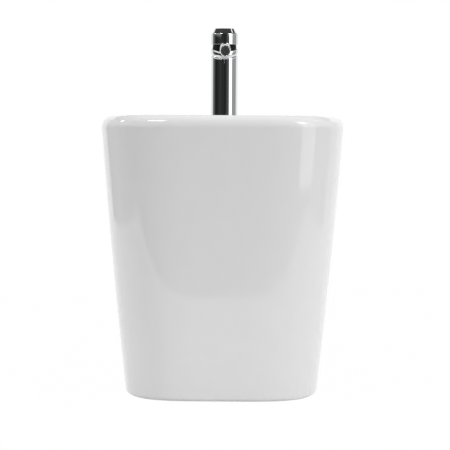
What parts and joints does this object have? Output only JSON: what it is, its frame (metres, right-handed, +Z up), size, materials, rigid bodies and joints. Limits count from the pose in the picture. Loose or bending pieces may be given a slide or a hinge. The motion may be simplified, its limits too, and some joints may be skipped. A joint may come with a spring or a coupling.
{
  "type": "bidet",
  "caption": "Floor-standing back-to-wall ceramic bidet, tapered square-fronted body with a bowl, a column mixer tap with a cap handle and aimed nozzle, and a push-open waste.",
  "frame": {"origin": "middle of the footprint on the floor", "axes": "+X to the side, +Y towards the wall behind the bidet, +Z up; the rounded front faces -Y"},
  "size_m": [0.355, 0.54, 0.5415],
  "materials": {
    "vitreous_china": "gloss white glaze",
    "chrome": "polished chrome plate",
    "black_plastic": "gloss black",
    "dark_plastic": "matt dark grey",
    "grey_plastic": "matt grey",
    "white_plastic": "moulded white",
    "rubber": "matt black",
    "brass": "as machined",
    "steel": "stainless"
  },
  "bodies": {
    "pan": {"ceramic_pedestal": "vitreous_china", "ceramic_basin": "vitreous_china", "overflow_ring": "chrome", "waste_body": "chrome", "waste_top_seal": "rubber", "waste_bottom_seal": "rubber", "waste_washer": "white_plastic", "waste_nut": "brass", "click_housing": "white_plastic", "click_spring": "steel", "tap_body": "chrome", "tap_base_seal": "rubber", "spout": "chrome", "spout_oring_lower": "rubber", "spout_oring_upper": "rubber", "neck_shroud": "black_plastic", "cartridge": "white_plastic", "cartridge_nut": "brass", "ball_seat": "white_plastic", "nozzle_ring": "chrome", "tap_stud": "steel", "clamp_gasket": "rubber", "clamp_plate": "brass", "stud_nut": "brass", "bracket_left": "steel", "bracket_right": "steel", "side_bush_left": "white_plastic", "side_bush_right": "white_plastic", "side_screw_left": "steel", "side_screw_right": "steel", "side_cap_left": "chrome", "side_cap_right": "chrome"},
    "mixer_turn": {"cartridge_rotor": "grey_plastic", "tilt_pin": "steel"},
    "mixer_handle": {"cartridge_stem": "brass", "handle_cap": "chrome", "handle_hub": "brass", "handle_screw": "steel", "handle_plug": "grey_plastic"},
    "plug": {"click_stem": "steel", "plug_cap": "chrome", "plug_seal": "rubber"},
    "nozzle": {"nozzle_ball": "dark_plastic", "aerator_insert": "dark_plastic"}
  },
  "joints": [
    {"name": "handle_turn", "type": "hinge", "parent": "pan", "child": "mixer_turn", "pos_m": [0, 0.165, 0.511], "axis": [0, 0, 1], "range_deg": [-45, 45]},
    {"name": "handle_tilt", "type": "hinge", "parent": "mixer_turn", "child": "mixer_handle", "pos_m": [0, 0.165, 0.511], "axis": [-1, 0, 0], "range_deg": [0, 15]},
    {"name": "nozzle_aim", "type": "hinge", "parent": "pan", "child": "nozzle", "pos_m": [0.00205, 0.05812, 0.5026], "axis": [0.9998, 0.0192, 0], "range_deg": [-12, 12]},
    {"name": "plug_lift", "type": "slide", "parent": "pan", "child": "plug", "axis": [0, 0, 1], "range_m": [0, 0.009], "deforming": ["click_spring"]}
  ]
}
